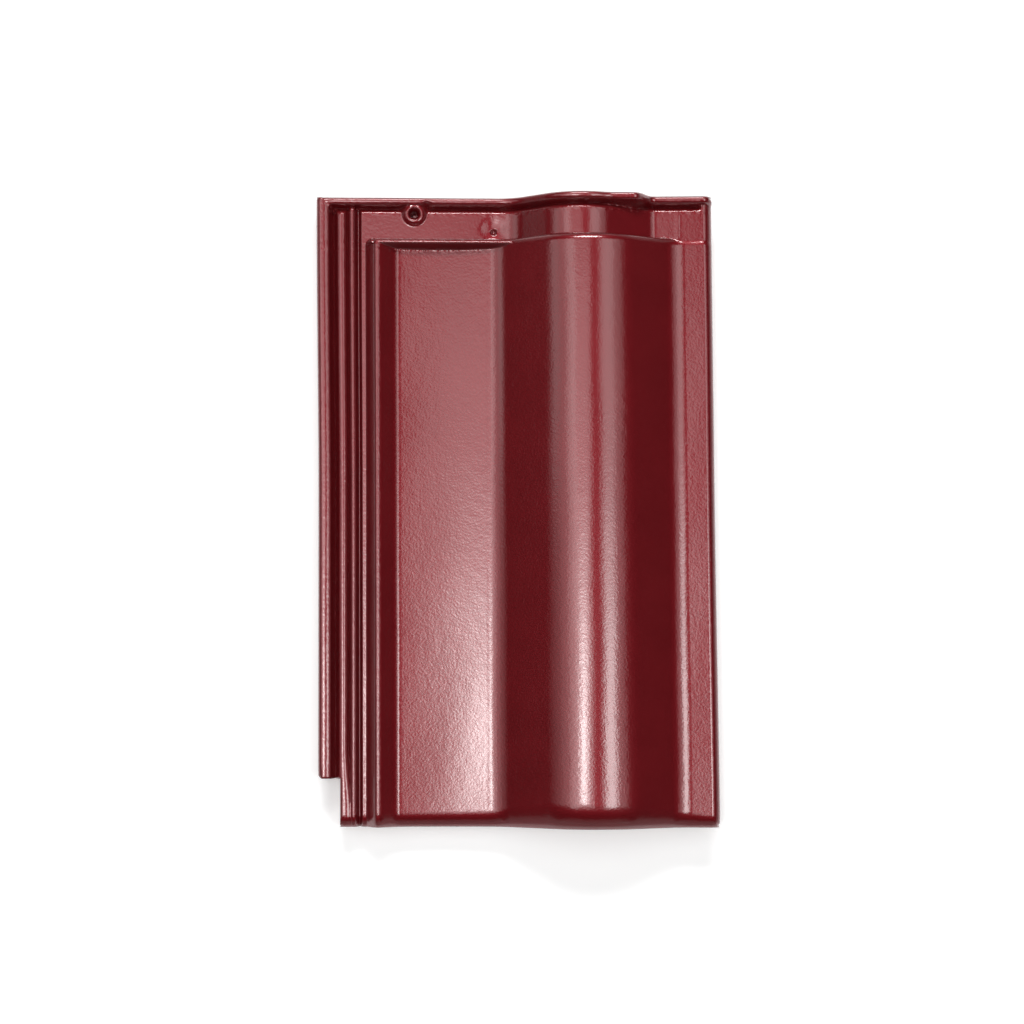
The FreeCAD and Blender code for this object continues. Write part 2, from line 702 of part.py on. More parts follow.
# Bead across the head of the pan
bead = new_sketch("head_bead", "YZ_Plane", "dims.bead_x")
close_loop(bead, [
    ("step_y", "floor_z"),
    ("step_y", "bead_z"),
    ("bead_back_y", "bead_z"),
    ("bead_pan_y", "floor_z"),
])
feature("Pad", "head_bead_pad", bead, "dims.toe_x + dims.toe_radius - dims.bead_x", False)

# Hump on the rim beside the roll
hump = new_sketch("rim_hump", "XZ_Plane", "-dims.rim_y")
close_loop(hump, [
    ("hump_x", "head_strip_z"),
    ("hump_x", "hump_z"),
    ("hump_end_x", "hump_z"),
    ("hump_foot_x", "rim_strip_z"),
    ("hump_foot_x", "head_strip_z"),
])
feature("Pad", "rim_hump_pad", hump, "dims.head_rim_width", True)

# Boss and nail hole
boss = new_sketch("boss_ring", "XY_Plane", "dims.groove_pan_z")
add_circle(boss, "boss_x", "boss_y", "boss_radius")
feature("Pad", "boss_pad", boss, "dims.boss_z - dims.groove_pan_z", False)
nail = new_sketch("nail_ring", "XY_Plane", "dims.boss_z")
add_circle(nail, "boss_x", "boss_y", "nail_radius")
feature("Pocket", "nail_hole", nail, "dims.boss_z", False)

# Notch at the nose on the lock side
notch = new_sketch("notch_plan", "XY_Plane", "dims.top_z")
close_loop(notch, [
    ("cut_left_x", "cut_nose_y"),
    ("notch_x", "cut_nose_y"),
    ("notch_x", "notch_y"),
    ("cut_left_x", "notch_y"),
])
feature("Pocket", "nose_notch", notch, "dims.top_z", False)

# Rounded corners of the plan
corners = new_sketch("plan_corners", "XY_Plane", "dims.top_z")
add_corner(corners, "head_corner_x", "head_corner_y", "right_x", "half_length", "cut_right_x", "cut_head_y",
           "head_corner_radius")
add_corner(corners, "nose_corner_x", "nose_corner_y", "right_x", "nose_y", "cut_right_x", "cut_nose_y",
           "nose_corner_radius")
add_corner(corners, "lock_corner_x", "lock_corner_y", "left_x", "half_length", "cut_left_x", "cut_head_y",
           "lock_corner_radius")
add_corner(corners, "notch_corner_x", "notch_corner_y", "left_x", "notch_y", "cut_left_x", "notch_out_y",
           "notch_corner")
add_corner(corners, "notch_low_x", "notch_low_y", "notch_x", "nose_y", "notch_out_x", "cut_nose_y",
           "notch_corner")
feature("Pocket", "corner_cut", corners, "dims.top_z", False)

# Cone at the nail hole's mouth
mouth = new_sketch("nail_mouth", "XZ_Plane", "-dims.boss_y")
close_loop(mouth, [
    ("boss_x", "boss_z"),
    ("mouth_x", "boss_z"),
    ("nail_wall_x", "mouth_z"),
    ("boss_x", "mouth_z"),
])
turned_cut("nail_mouth_cut", mouth)

# Dimple beside the roll's foot
dimple = new_sketch("dimple_section", "XZ_Plane", "-dims.dimple_y")
close_loop(dimple, [
    ("dimple_x", "dimple_z"),
    ("dimple_edge_x", "dimple_z"),
    ("dimple_pit_x", "dimple_pit_z"),
    ("dimple_x", "dimple_pit_z"),
])
turned_cut("dimple_cut", dimple)

# Short ridge on the strip's head lock
ridge = new_sketch("ridge_plan", "XY_Plane", "dims.cover_z")
close_loop(ridge, [
    ("ridge_x", "ridge_low_y"),
    ("ridge_end_x", "ridge_low_y"),
    ("ridge_end_x", "ridge_high_y"),
    ("ridge_x", "ridge_high_y"),
])
feature("Pad", "ridge_pad", ridge, "dims.head_strip_z + dims.ridge_rise - dims.cover_z", False)

# Foot rib and hanging nibs
foot_rib = new_sketch("foot_rib_plan", "XY_Plane")
close_loop(foot_rib, [
    ("foot_rib_x", "foot_rib_y"),
    ("foot_rib_end", "foot_rib_y"),
    ("foot_rib_end", "foot_rib_back"),
    ("foot_rib_x", "foot_rib_back"),
])
feature("Pad", "foot_rib_pad", foot_rib, "dims.under_z + dims.nib_root", False)

left_nib = new_sketch("left_nib_front", "XZ_Plane", "-dims.nib_back_y")
close_loop(left_nib, [
    ("nib_left_x", "ground_z"),
    ("nib_left_end", "ground_z"),
    ("nib_left_end", "nib_root_z"),
    ("nib_left_x", "nib_root_z"),
])
feature("Pad", "left_nib", left_nib, "dims.nib_thickness", True)

right_nib = new_sketch("right_nib_front", "XZ_Plane", "-dims.nib_back_y")
close_loop(right_nib, [
    ("nib_right_x", "ground_z"),
    ("nib_right_end", "ground_z"),
    ("nib_right_end", "nib_low_root_z"),
    ("nib_right_x", "nib_high_root_z"),
])
feature("Pad", "right_nib", right_nib, "dims.nib_thickness", True)

for item in body.Group:
    if "Invalid" in item.State or "Error" in item.State:
        raise RuntimeError(item.Name + " is not built")
shape = body.Tip.Shape
if shape.isNull() or not shape.isValid() or len(shape.Solids) != 1:
    raise RuntimeError("the tile is not one valid solid")
os.makedirs("parts", exist_ok=True)
shape.exportStep("parts/roof_tile.step")
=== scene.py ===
import math

import bpy
import numpy as np
from mathutils import Matrix, Vector


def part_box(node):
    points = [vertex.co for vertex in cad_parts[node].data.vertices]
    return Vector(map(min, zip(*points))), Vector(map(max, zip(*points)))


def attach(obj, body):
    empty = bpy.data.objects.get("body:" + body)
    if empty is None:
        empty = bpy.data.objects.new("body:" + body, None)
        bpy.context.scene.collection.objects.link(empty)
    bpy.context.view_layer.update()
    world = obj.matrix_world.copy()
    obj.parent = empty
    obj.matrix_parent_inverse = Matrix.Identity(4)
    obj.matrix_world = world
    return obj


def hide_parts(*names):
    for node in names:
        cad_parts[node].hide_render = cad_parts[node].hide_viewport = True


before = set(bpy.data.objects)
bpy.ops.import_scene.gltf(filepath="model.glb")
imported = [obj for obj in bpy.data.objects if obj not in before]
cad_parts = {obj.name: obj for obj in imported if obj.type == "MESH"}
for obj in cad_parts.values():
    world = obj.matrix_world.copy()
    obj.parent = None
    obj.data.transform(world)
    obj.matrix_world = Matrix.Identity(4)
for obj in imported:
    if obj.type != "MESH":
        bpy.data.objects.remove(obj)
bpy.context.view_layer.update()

MM = 0.001
TINY = 1e-6
NODE = "roof_tile"
low_corner, high_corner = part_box(NODE)

# Outline, from the solid's box
LEFT_X = low_corner.x / MM
RIGHT_X = high_corner.x / MM
NOSE_Y = low_corner.y / MM
HEAD_Y = high_corner.y / MM
ROLL_TOP = high_corner.z / MM

# Heights of the levels
UNDER_Z = 10.0
FLOOR_Z = 21.5
PAN_Z = 22.0
BEAD_Z = 30.5
STRIP_Z = 33.0
HEAD_STRIP_Z = 31.2
HEAD_ROLL_TOP = 48.0
COVER_UNDER_Z = 24.0

# Roll in the main section and in the head lock: toe, apex and foot with their radii
TOE_X = -22.3
TOE_R = 32.0
APEX_X = 52.0
CROWN_LEFT_R = 56.0
SHOULDER_R = 64.0
CROWN_RIGHT_R = 72.0
FOOT_R = 32.0
FOOT_X = 121.0
HEAD_TOE_X = -13.0
HEAD_TOE_R = 30.0
HEAD_APEX_X = 47.2
HEAD_LEFT_R = 45.0
HEAD_RIGHT_R = 50.0
HEAD_FOOT_R = 12.0
HEAD_FOOT_X = 100.5

# Turn from the apex at which the roll's crown passes into its wider shoulder
SHOULDER_TURN = math.radians(11.0)
SIN_SHOULDER = math.sin(SHOULDER_TURN)
COS_SHOULDER = math.cos(SHOULDER_TURN)

# Steepest flank that is tried, and how many halvings find the real one
STEEPEST = math.radians(60.0)
HALVINGS = 60

# Slow rise of the pan towards its sides, and of the strips towards their edge
PAN_DISH_X = -55.0
PAN_DISH_R = 420.0
PAN_LEFT_R = 600.0
STRIP_RISE = 1.05
HEAD_STRIP_RISE = 2.2

# Level start of the toe's arc, which takes over from the pan at the pan's own slope
TOE_TURN = math.atan((TOE_X - PAN_DISH_X) / PAN_DISH_R)
TOE_START_X = TOE_X - TOE_R * math.sin(TOE_TURN)
PAN_TOE_Z = PAN_Z + (TOE_X - PAN_DISH_X) ** 2 / (2.0 * PAN_DISH_R)
TOE_START_Z = PAN_TOE_Z - TOE_R * (1.0 - math.cos(TOE_TURN))

# Cover strip's outer edge
STRIP_EDGE_X = RIGHT_X - 7.4
STRIP_EDGE_R = 7.0
STRIP_EDGE_TURN = 86.0
STRIP_SIDE_Z = 22.8

# Raised body beside the locks, with the rounding where its surfaces meet
BEAD_FOOT_X = -107.8
BEAD_WALL_X = -101.8
BEAD_END_X = -98.2
BEAD_CROWN = 0.6
BEAD_ROUND = 1.8
SLOPE_FOOT_X = -84.8
LEFT_BANK_FOOT = 2.1
HEAD_BANK_FOOT = 1.6
BANK_JOIN = 0.5
BANK_END = 0.5
STEP_Y = 194.6
STEP_RUN = 5.6
STEP_DEPTH = 4.2
STEP_FOOT = 0.8
STEP_RISE = 6.0
BODY_CORNER_R = 5.5
BODY_FOOT = 3.0
BODY_JOIN = 0.8
CREST_Y = 190.6
SLOPE_FOOT_Y = 187.2

# Ring groove and rim, round the left side and the head; walls are given as rise over run
LEFT_RIM_W = 8.7
HEAD_RIM_W = 5.2
RIM_RISE = 3.5
RIM_CROWN = 1.1
RIM_JOIN = 0.8
RING_CORNER = 3.0
GROOVE_WALL = 2.7
HEAD_GROOVE_W = 4.8
GROOVE_END_X = (131.0, 134.0)

# Ribs of the left lock, as offsets from the lock floor
RIB_RISE = 1.8
RIB_CROWN = 0.9
RIB_WALL = 2.2
RIB_A = (-127.3, -121.8)
RIB_B = (-119.0, -115.3)
RIB_B_AHEAD = 2.6
RIB_JOIN = 0.4
RIB_HEAD_ROUND = 3.4
SLIT_W = RIB_B[0] - RIB_A[1]
SLIT_CLOSING_Y = (168.0, 218.0)
INNER_GROOVE_END_X = -110.8
FLOOR_EDGE_ROUND = 0.8

# Nail boss with the valley beside it
BOSS_AT = (-73.3, 213.4)
BOSS_R = 8.8
BOSS_RISE = 2.4
BOSS_WALL = 1.2
BOSS_ROUND = 2.6
BOSS_FOOT = 1.2
VALLEY_X = -64.3
VALLEY_IN = 0.2
VALLEY_HALF_W = 2.3
VALLEY_DROP = 2.2

# Nail hole: a coned mouth and a bore down to a skin above the underside
NAIL_R = 2.75
MOUTH_R = 4.6
MOUTH_DROP = 3.2
MOUTH_ROUND = 0.5
BORE_WALL = 9.0
HOLE_EDGE = 1.0
HOLE_SKIN = 0.4

# Dimple with its pit, ridge and hump of the head
DIMPLE_AT = (-16.6, 203.0)
DIMPLE_R = 6.2
DIMPLE_DROP = 0.9
DIMPLE_EDGE = 1.8
PIT_AT = (-15.9, 200.6)
PIT_WALL_R = (0.95, 2.47)
PIT_DROP = 2.6
RIDGE_X = 116.45
RIDGE_Y = (196.0, 211.0)
RIDGE_RISE = 0.25
RIDGE_HALF_W = 1.4
RIDGE_END = 5.0
HUMP_X = 58.0
HUMP_END_X = (84.0, 101.0)
HUMP_Z = 48.4
HUMP_WALL = 1.5
HUMP_FALL = 16.0
HUMP_JOIN = 1.5

# Edges and the notch at the nose
NOSE_AT_X = (BEAD_FOOT_X, BEAD_WALL_X, TOE_X, TOE_X + 40.0, APEX_X + 20.0, FOOT_X, RIGHT_X)
NOSE_RUN = (9.0, 11.0, 12.0, 19.0, 19.0, 12.0, 9.0)
NOSE_DEPTH = (7.5, 8.0, 9.0, 13.0, 13.0, 9.0, 8.0)
NOSE_TURN = 0.94
NOSE_ROUND_Y = NOSE_Y + max(NOSE_RUN)
RIM_R = 2.6
HEAD_EDGE_R = 1.8
NOTCH_X = -126.6
NOTCH_Y = -191.0
NOTCH_R = 1.6
LOWER_BEVEL = 0.8
LEAST_WALL = 0.05
SHARP_ANGLE = math.radians(50.0)

# Plan corners: place, direction outward and radius
CORNERS = (
    (LEFT_X, HEAD_Y, -1.0, 1.0, 2.0),
    (RIGHT_X, HEAD_Y, 1.0, 1.0, 4.2),
    (RIGHT_X, NOSE_Y, 1.0, -1.0, 3.5),
    (NOTCH_X, NOSE_Y, -1.0, -1.0, 2.0),
    (LEFT_X, NOTCH_Y, -1.0, -1.0, 3.4),
)

# What the kiln draws out of true: a skewed nose and flaring sides
NOSE_SKEW = 0.009
HEAD_FLARE = 1.6
NOSE_FLARE = 0.9

# Slow waves of the fired clay: height, length along x, length along y and start
CLAY_WAVES = (
    (0.025, 17.0, -31.0, 0.9 + math.pi / 2.0),
    (-0.025, 17.0, 31.0, 1.7 + math.pi / 2.0),
    (0.04, 9.0, -23.0, 2.1),
    (0.03, 37.0, 13.0, 0.0),
)

# Edges across the head where the glaze runs thin, each with the x at which it ends,
# and the share of that over the ribs of the left lock
THIN_EDGES = ((219.6, RIGHT_X), (213.6, RIGHT_X), (192.4, TOE_X), (187.0, TOE_X))
THIN_HALF_W = 1.7
THIN_FADE = 4.0
THIN_LOCK = 0.25

# Underside
HOLLOW_TOE_X = -12.7
HOLLOW_TOE_R = 30.0
HOLLOW_TOP = 44.5
HOLLOW_LEFT_R = 39.0
HOLLOW_RIGHT_R = 54.0
HOLLOW_FOOT_R = 30.0
HOLLOW_FOOT_X = 110.3
HEAD_HOLLOW_Y = 180.6
HEAD_HOLLOW_TOE_X = -7.0
HEAD_HOLLOW_TOP = 34.5
HEAD_HOLLOW_LEFT_R = 32.0
HEAD_HOLLOW_RIGHT_R = 40.0
HEAD_HOLLOW_FOOT_R = 10.0
HEAD_HOLLOW_FOOT_X = 89.0
COVER_RIB_X = (117.2, 121.2)
COVER_RIB_Z = 18.0
TONGUE_X = (134.4, 137.0)
TONGUE_Z = 19.0
LIP_Z = 22.8
FOOT_RIB = ((-112.0, -18.0), (-206.5, -202.1))
LEFT_NIB = ((-97.0, -67.0), (170.0, 183.0))
RIGHT_NIB = ((69.0, 99.0), (170.0, 183.0))
UNDER_WALL_W = 0.7

# Grid lines as runs of start, end and step: fine where a surface turns, wide where it is plain
HOLLOW_STEPS = 47
HOLLOW_STEP = (HOLLOW_FOOT_X - HOLLOW_TOE_X) / HOLLOW_STEPS
UNDER_RUNS_X = (
    (LEFT_X, HOLLOW_TOE_X, 22.0),
    (HOLLOW_TOE_X, HOLLOW_FOOT_X, HOLLOW_STEP),
    (HOLLOW_FOOT_X, RIGHT_X, 8.0),
)
UNDER_RUNS_Y = ((NOSE_Y, HEAD_Y, 45.0),)
FACE_RUNS_X = (
    (LEFT_X, LEFT_X + RIM_R, 0.26),
    (LEFT_X + RIM_R, -134.4, 0.9),
    (-134.4, -97.0, 0.42),
    (-97.0, -87.5, 1.2),
    (-87.5, -82.5, 0.6),
    (-82.5, -64.0, 0.65),
    (-64.0, -58.0, 0.9),
    (-58.0, -26.0, 2.0),
    (-26.0, HOLLOW_TOE_X, 0.9),
    (HOLLOW_TOE_X, HOLLOW_FOOT_X, HOLLOW_STEP / 2.0),
    (HOLLOW_FOOT_X, 120.5, 0.8),
    (120.5, STRIP_EDGE_X, 1.5),
    (STRIP_EDGE_X, RIGHT_X, 0.4),
)
FACE_RUNS_Y = (
    (NOSE_Y, NOSE_Y + 1.2, 0.15),
    (NOSE_Y + 1.2, NOSE_ROUND_Y, 0.6),
    (NOSE_ROUND_Y, NOTCH_Y - 3.0, 2.4),
    (NOTCH_Y - 3.0, NOTCH_Y + 2.4, 0.4),
    (NOTCH_Y + 2.4, 180.0, 6.4),
    (180.0, 185.5, 1.1),
    (185.5, 197.5, 0.4),
    (197.5, 203.5, 0.6),
    (203.5, HEAD_Y - HEAD_EDGE_R, 0.48),
    (HEAD_Y - HEAD_EDGE_R, HEAD_Y, 0.2),
)


# Small shape helpers
def smooth_min(a, b, r):
    """Lower of two heights, rounded where they are within r of each other."""
    blend = np.maximum(r - np.abs(a - b), 0.0) / r
    return np.minimum(a, b) - blend * blend * r / 4.0


def smooth_max(a, b, r):
    """Upper of two heights, rounded in the same way."""
    return -smooth_min(-a, -b, r)


def ease(v, start, end):
    """0 before start, 1 after end and a smooth step between."""
    t = np.clip((v - start) / (end - start), 0.0, 1.0)
    return t * t * (3.0 - 2.0 * t)


def between(v, span, wall):
    """1 inside a span, falling to 0 within a wall's width outside it."""
    start, end = span
    rising = np.clip((v - start) / wall + 1.0, 0.0, 1.0)
    return rising * np.clip((end - v) / wall + 1.0, 0.0, 1.0)


def edge_drop(distance, run, depth, turn=1.0):
    """How far a rounded edge has fallen at a distance inside the outline; turn 1 ends it upright."""
    inside = turn * np.clip(1.0 - distance / run, 0.0, 1.0)
    return depth * (1.0 - np.sqrt(np.maximum(1.0 - inside * inside, 0.0)))


def level(profile, x):
    """Height of a profile at x."""
    return np.interp(x, profile[:, 0], profile[:, 1])


def s_curve(x0, z0, toe_r, x1, z1, crown_r, shoulder_r=None, steps=16):
    """Points of a smooth slope between a low and a high end that are both level.

    From the high end come a crown arc, a wider shoulder arc, a straight flank and a toe arc.
    """
    run = abs(x1 - x0)
    rise = z1 - z0
    shoulder_r = shoulder_r or crown_r

    def flank(angle):
        upper = crown_r * SIN_SHOULDER + shoulder_r * (math.sin(angle) - SIN_SHOULDER)
        return (run - upper - toe_r * math.sin(angle)) / math.cos(angle)

    def height(angle):
        upper = crown_r * (1.0 - COS_SHOULDER) + shoulder_r * (COS_SHOULDER - math.cos(angle))
        return upper + toe_r * (1.0 - math.cos(angle)) + flank(angle) * math.sin(angle)

    low, high = SHOULDER_TURN, STEEPEST
    for _ in range(HALVINGS):
        angle = (low + high) / 2.0
        if height(angle) < rise and flank(angle) > 0.0:
            low = angle
        else:
            high = angle

    turn = np.linspace(0.0, SHOULDER_TURN, steps)
    crown = crown_r * np.column_stack([np.sin(turn), np.cos(turn) - 1.0])
    turn = np.linspace(SHOULDER_TURN, angle, steps)
    bend = np.column_stack([np.sin(turn) - SIN_SHOULDER, np.cos(turn) - COS_SHOULDER])
    shoulder = crown[-1] + shoulder_r * bend
    turn = np.linspace(angle, 0.0, steps)
    toe = np.column_stack([run - toe_r * np.sin(turn), toe_r * (1.0 - np.cos(turn)) - rise])
    points = np.concatenate([crown, shoulder[1:], toe])
    points = points * [math.copysign(1.0, x0 - x1), 1.0] + [x1, z1]
    return points if x0 > x1 else points[::-1]


def strip_edge(top_z, steps=14):
    """Points of the cover strip's rounded outer edge, below a given top."""
    turn = np.radians(np.linspace(0.0, STRIP_EDGE_TURN, steps))
    arc = np.column_stack([
        STRIP_EDGE_X + STRIP_EDGE_R * np.sin(turn),
        top_z - STRIP_EDGE_R * (1.0 - np.cos(turn)),
    ])
    return np.concatenate([arc, [[RIGHT_X, STRIP_SIDE_Z]]])


# Long profiles across the tile
main_profile = np.concatenate([
    s_curve(TOE_START_X, TOE_START_Z, TOE_R, APEX_X, ROLL_TOP, CROWN_LEFT_R, SHOULDER_R),
    s_curve(FOOT_X, STRIP_Z, FOOT_R, APEX_X, ROLL_TOP, CROWN_RIGHT_R),
    strip_edge(STRIP_Z),
])
head_profile = np.concatenate([
    [[LEFT_X, FLOOR_Z]],
    s_curve(HEAD_TOE_X, FLOOR_Z, HEAD_TOE_R, HEAD_APEX_X, HEAD_ROLL_TOP, HEAD_LEFT_R),
    s_curve(HEAD_FOOT_X, HEAD_STRIP_Z, HEAD_FOOT_R, HEAD_APEX_X, HEAD_ROLL_TOP, HEAD_RIGHT_R),
    strip_edge(HEAD_STRIP_Z),
])
hollow_profile = np.concatenate([
    [[LEFT_X, UNDER_Z]],
    s_curve(HOLLOW_TOE_X, UNDER_Z, HOLLOW_TOE_R, APEX_X, HOLLOW_TOP, HOLLOW_LEFT_R),
    s_curve(HOLLOW_FOOT_X, COVER_UNDER_Z, HOLLOW_FOOT_R, APEX_X, HOLLOW_TOP, HOLLOW_RIGHT_R),
])
head_hollow_top = (HEAD_APEX_X, HEAD_HOLLOW_TOP)
head_hollow_profile = np.concatenate([
    [[LEFT_X, UNDER_Z]],
    s_curve(HEAD_HOLLOW_TOE_X, UNDER_Z, HOLLOW_TOE_R, *head_hollow_top, HEAD_HOLLOW_LEFT_R),
    s_curve(HEAD_HOLLOW_FOOT_X, COVER_UNDER_Z, HEAD_HOLLOW_FOOT_R, *head_hollow_top, HEAD_HOLLOW_RIGHT_R),
])


# Glazed face: the raised body and the locks
def body_wall(x, y):
    """Rise of the raised body's walls above the lock floor, round its outer corner."""
    in_x = x - BEAD_FOOT_X
    in_y = STEP_Y + STEP_FOOT - y
    left_rise = (BEAD_Z - FLOOR_Z) / (BEAD_WALL_X - BEAD_FOOT_X)
    wall = np.minimum(left_rise * in_x, STEP_RISE * in_y)
    out_x = np.maximum(BODY_CORNER_R - in_x, 0.0)
    out_y = np.maximum(BODY_CORNER_R - in_y, 0.0)
    reach = np.maximum(np.hypot(out_x, out_y), TINY)
    corner_rise = (left_rise * out_x ** 2 + STEP_RISE * out_y ** 2) / reach ** 2
    return np.where((out_x > 0.0) & (out_y > 0.0), corner_rise * (BODY_CORNER_R - reach), wall)


def body_height(x, y):
    """Pan, roll, cover strip and the bead that frames the pan."""
    reach = np.clip(x, BEAD_END_X, TOE_X) - PAN_DISH_X
    pan = PAN_Z + reach * reach / (2.0 * np.where(reach > 0.0, PAN_DISH_R, PAN_LEFT_R))
    lift = STRIP_RISE * np.clip((x - FOOT_X) / (STRIP_EDGE_X - FOOT_X), 0.0, 1.0)
    wave = np.where(x < TOE_X, pan, level(main_profile, x)) + lift
    left_slope = (BEAD_Z - PAN_Z) / (SLOPE_FOOT_X - BEAD_END_X)
    head_slope = (BEAD_Z - PAN_Z) / (CREST_Y - SLOPE_FOOT_Y)
    left_bank = smooth_max(BEAD_Z - left_slope * (x - BEAD_END_X), pan, LEFT_BANK_FOOT)
    head_bank = smooth_max(BEAD_Z - head_slope * (CREST_Y - y), pan, HEAD_BANK_FOOT)
    head_bank = head_bank - BANK_END * np.maximum(x, 0.0)
    bank = smooth_max(left_bank, head_bank, BANK_JOIN)
    bead = smooth_min(bank, np.full_like(x, BEAD_Z + BEAD_CROWN), BEAD_ROUND)
    body = smooth_max(wave, bead, BANK_JOIN) - edge_drop(STEP_Y - y, STEP_RUN, STEP_DEPTH)
    return smooth_min(body, level(head_profile, x) + body_wall(x, y), BODY_FOOT)


def domed_rib(x, start, end):
    """A rib with a domed top and sloping walls."""
    half = (end - start) / 2.0
    out = np.abs(x - (start + end) / 2.0) / half
    top = RIB_RISE - RIB_CROWN * np.minimum(out, 1.0) ** 2
    return top - RIB_WALL * half * np.maximum(out - 1.0, 0.0)


def lock_ribs(x, in_head):
    """Ribs of the left lock and the floor's edge beside them, above the lock floor."""
    y = HEAD_Y - HEAD_RIM_W - in_head
    slit_closing = SLIT_W * ease(-y, *SLIT_CLOSING_Y)
    ribs = domed_rib(x, RIB_A[0], RIB_A[1] + slit_closing)
    ribs = smooth_max(ribs, domed_rib(x, *RIB_B), RIB_JOIN)
    floor_edge = RIB_WALL * (x - INNER_GROOVE_END_X)
    floor_edge = smooth_min(floor_edge, np.zeros_like(x), FLOOR_EDGE_ROUND)
    ribs = smooth_max(ribs, floor_edge, RIB_JOIN)
    in_groove = in_head + RIB_B_AHEAD * between(x, RIB_B, RIB_JOIN) - HEAD_GROOVE_W
    return smooth_min(ribs, RIB_WALL * in_groove + RIB_RISE - RIB_CROWN, RIB_HEAD_ROUND)


def lock_floor(x):
    """Floor of the locks, which follows the roll's head."""
    strip = np.clip((x - HEAD_FOOT_X) / (STRIP_EDGE_X - HEAD_FOOT_X), 0.0, 1.0)
    return level(head_profile, x) + HEAD_STRIP_RISE * strip


def lock_ring(x, in_head):
    """Locks with their rim, ring groove and ribs, and the hump of the rim over the roll."""
    in_left = x - (LEFT_X + LEFT_RIM_W)
    ring = smooth_min(in_left, in_head, RING_CORNER)
    rim_half = np.where(in_left < in_head, LEFT_RIM_W, HEAD_RIM_W) / 2.0
    dome = RIM_CROWN * np.minimum(np.abs(ring + rim_half) / rim_half, 1.0) ** 2
    rim = RIM_RISE - dome - GROOVE_WALL * np.maximum(ring, 0.0)
    section = smooth_max(lock_ribs(x, in_head), rim, RIM_JOIN)
    section = section + (np.maximum(section, 0.0) - section) * ease(x, *GROOVE_END_X)

    hump = HUMP_Z - HUMP_WALL * np.maximum(HUMP_X - x, 0.0) - HUMP_FALL * ease(x, *HUMP_END_X)
    hump = hump - dome - GROOVE_WALL * np.maximum(in_head, 0.0)
    hump = hump - GROOVE_WALL * np.maximum(x - HUMP_END_X[1], 0.0)
    return smooth_max(lock_floor(x) + section, hump, HUMP_JOIN)


def lock_height(x, y):
    """Locks with the nail boss, the dimple and the ridge of the head."""
    in_head = HEAD_Y - HEAD_RIM_W - y
    floor = lock_floor(x)
    valley_x = (x - VALLEY_X) / VALLEY_HALF_W
    valley_y = (in_head - VALLEY_IN) / VALLEY_HALF_W
    lock = lock_ring(x, in_head) - VALLEY_DROP * np.exp(-(valley_x ** 2 + valley_y ** 2))

    reach = np.hypot(x - BOSS_AT[0], y - BOSS_AT[1])
    boss = smooth_min(np.full_like(x, BOSS_RISE), BOSS_WALL * (BOSS_R - reach), BOSS_ROUND)
    lock = smooth_max(lock, floor + boss, BOSS_FOOT)
    mouth = BOSS_RISE - MOUTH_DROP * (MOUTH_R - reach) / (MOUTH_R - NAIL_R)
    bore = BOSS_RISE - MOUTH_DROP - BORE_WALL * (NAIL_R - reach)
    hole = np.maximum(smooth_min(mouth, bore, MOUTH_ROUND), UNDER_Z - FLOOR_Z + HOLE_SKIN)
    lock = smooth_min(lock, floor + hole, HOLE_EDGE)

    reach = np.hypot(x - DIMPLE_AT[0], y - DIMPLE_AT[1])
    dimple = floor - DIMPLE_DROP * (1.0 - (reach / DIMPLE_R) ** 2)
    lock = smooth_min(lock, dimple, DIMPLE_EDGE)
    reach = np.hypot(x - PIT_AT[0], y - PIT_AT[1])
    lock = lock - PIT_DROP * (1.0 - ease(reach, *PIT_WALL_R))

    ridge = np.exp(-(((x - RIDGE_X) / RIDGE_HALF_W) ** 2))
    return lock + RIDGE_RISE * ridge * between(y, RIDGE_Y, RIDGE_END)


def waviness(x, y):
    """Slow unevenness of pressed and fired clay."""
    return sum(
        height * np.sin(x / length_x + y / length_y + start)
        for height, length_x, length_y, start in CLAY_WAVES
    )


def face_height(x, y):
    """Height of the glazed face."""
    top = smooth_max(body_height(x, y), lock_height(x, y), BODY_JOIN)
    nose_run = np.interp(x, NOSE_AT_X, NOSE_RUN)
    nose_depth = np.interp(x, NOSE_AT_X, NOSE_DEPTH)
    drop = edge_drop(y - NOSE_Y, nose_run, nose_depth, NOSE_TURN)
    drop = np.maximum(drop, edge_drop(x - LEFT_X, RIM_R, RIM_R))
    drop = np.maximum(drop, edge_drop(HEAD_Y - y, HEAD_EDGE_R, HEAD_EDGE_R))
    notch = np.hypot(np.maximum(x - NOTCH_X, 0.0), np.maximum(y - NOTCH_Y, 0.0))
    drop = np.maximum(drop, edge_drop(notch, NOTCH_R, NOTCH_R))
    return top - drop + waviness(x, y)


def under_height(x, y):
    """Height of the underside: hollow, cover ribs, foot rib and hanging nibs."""
    main = level(hollow_profile, x)
    head = level(head_hollow_profile, x)
    under = main + (head - main) * np.clip((y - HEAD_HOLLOW_Y) / UNDER_WALL_W, 0.0, 1.0)
    for span, low in ((COVER_RIB_X, COVER_RIB_Z), (TONGUE_X, TONGUE_Z)):
        under = under + (low - under) * between(x, span, UNDER_WALL_W)
    under = np.where(x > TONGUE_X[1] + UNDER_WALL_W, LIP_Z, under)
    for span_x, span_y in (FOOT_RIB, LEFT_NIB, RIGHT_NIB):
        under = under * (1.0 - between(x, span_x, UNDER_WALL_W) * between(y, span_y, UNDER_WALL_W))
    return under


# Grid lines of the underside, and of the face, which has those and more
def spaced(runs):
    """Lines along runs of (start, end, step)."""
    return np.concatenate([
        np.linspace(start, end, max(2, round((end - start) / step) + 1)) for start, end, step in runs
    ])


def walls(*spans):
    """Lines on both sides of each upright wall of the underside."""
    lines = [(start - UNDER_WALL_W, start, end, end + UNDER_WALL_W) for start, end in spans]
    return np.concatenate(lines)


def merged(*sets):
    """All lines of several sets in order, each once."""
    return np.unique(np.round(np.concatenate(sets), 3))


